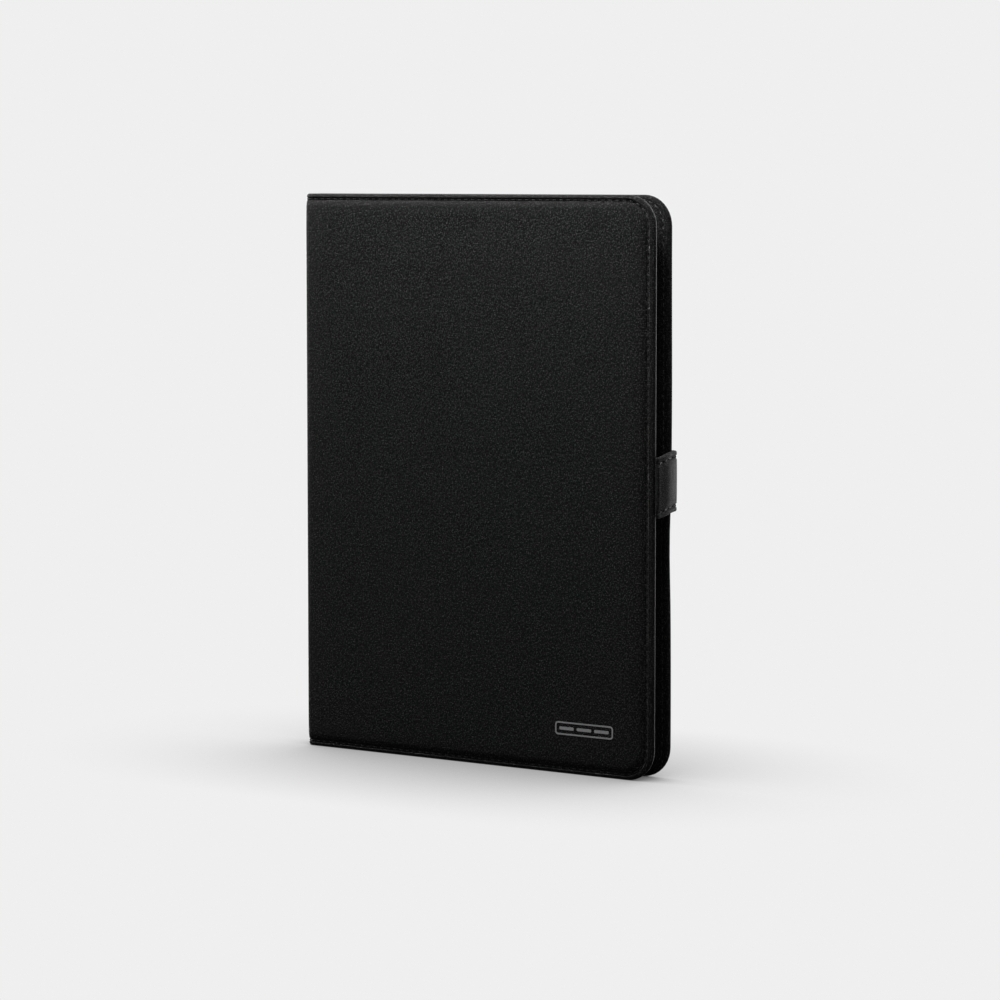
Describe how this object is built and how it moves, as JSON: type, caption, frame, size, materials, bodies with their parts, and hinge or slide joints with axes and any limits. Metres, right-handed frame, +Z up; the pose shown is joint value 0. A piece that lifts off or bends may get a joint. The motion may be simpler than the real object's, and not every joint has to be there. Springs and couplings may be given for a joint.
{
  "type": "tablet case",
  "caption": "Book-style tablet case: fabric front and back covers on a folding spine, a moulded inner tray with port cut-outs, and a padded magnetic strap that closes the fore-edge.",
  "frame": {"origin": "under the middle of the closed case, on the surface that its bottom edge stands on", "axes": "+Z up along the covers' height, +X from the spine to the fore-edge, +Y from the front cover to the back cover"},
  "size_m": [0.196, 0.0166, 0.26],
  "materials": {
    "cover_fabric": "matte woven polyester, near black",
    "lining_fabric": "brushed microfibre, dark grey",
    "foam": "matte closed-cell foam",
    "board": "grey fibreboard",
    "thread": "black polyester thread",
    "magnet": "nickel-plated",
    "foil": "grey heat-pressed foil",
    "ring_plastic": "fine moulded texture, black",
    "tray_plastic": "fine moulded texture, black",
    "tray_rubber": "matte soft-touch TPU, black",
    "adhesive": "double-sided acrylic film"
  },
  "bodies": {
    "back_cover": {"back_outer_fabric": "cover_fabric", "back_foam_sheet": "foam", "back_stiffener_board": "board", "back_lining": "lining_fabric", "back_edge_stitching": "thread", "camera_hole_ring": "ring_plastic", "tray_adhesive_sheet": "adhesive", "tray_base": "tray_plastic", "tray_rim": "tray_rubber", "strap_tail": "cover_fabric", "strap_tail_stitching": "thread"},
    "spine": {"spine_outer_fabric": "cover_fabric", "spine_board": "board", "spine_lining": "lining_fabric"},
    "front_cover": {"front_outer_fabric": "cover_fabric", "front_foam_sheet": "foam", "front_stiffener_board": "board", "front_lining": "lining_fabric", "front_edge_stitching": "thread", "wake_magnets": "magnet", "strap_catch_magnets": "magnet", "foil_mark": "foil"},
    "strap": {"strap_outer_fabric": "cover_fabric", "strap_foam": "foam", "strap_lining": "lining_fabric", "strap_stitching": "thread", "strap_end_magnets": "magnet"}
  },
  "joints": [
    {"name": "spine_fold", "type": "hinge", "parent": "back_cover", "child": "spine", "pos_m": [-0.09698, 0.0061, 0.13], "axis": [0, 0, -1], "range_deg": [0, 180]},
    {"name": "cover_fold", "type": "hinge", "parent": "spine", "child": "front_cover", "pos_m": [-0.09698, -0.0073, 0.13], "axis": [0, 0, -1], "range_deg": [0, 180]},
    {"name": "strap_swing", "type": "hinge", "parent": "back_cover", "child": "strap", "pos_m": [0.09663, 0.0077, 0.132], "axis": [0, 0, 1], "range_deg": [0, 180]}
  ]
}
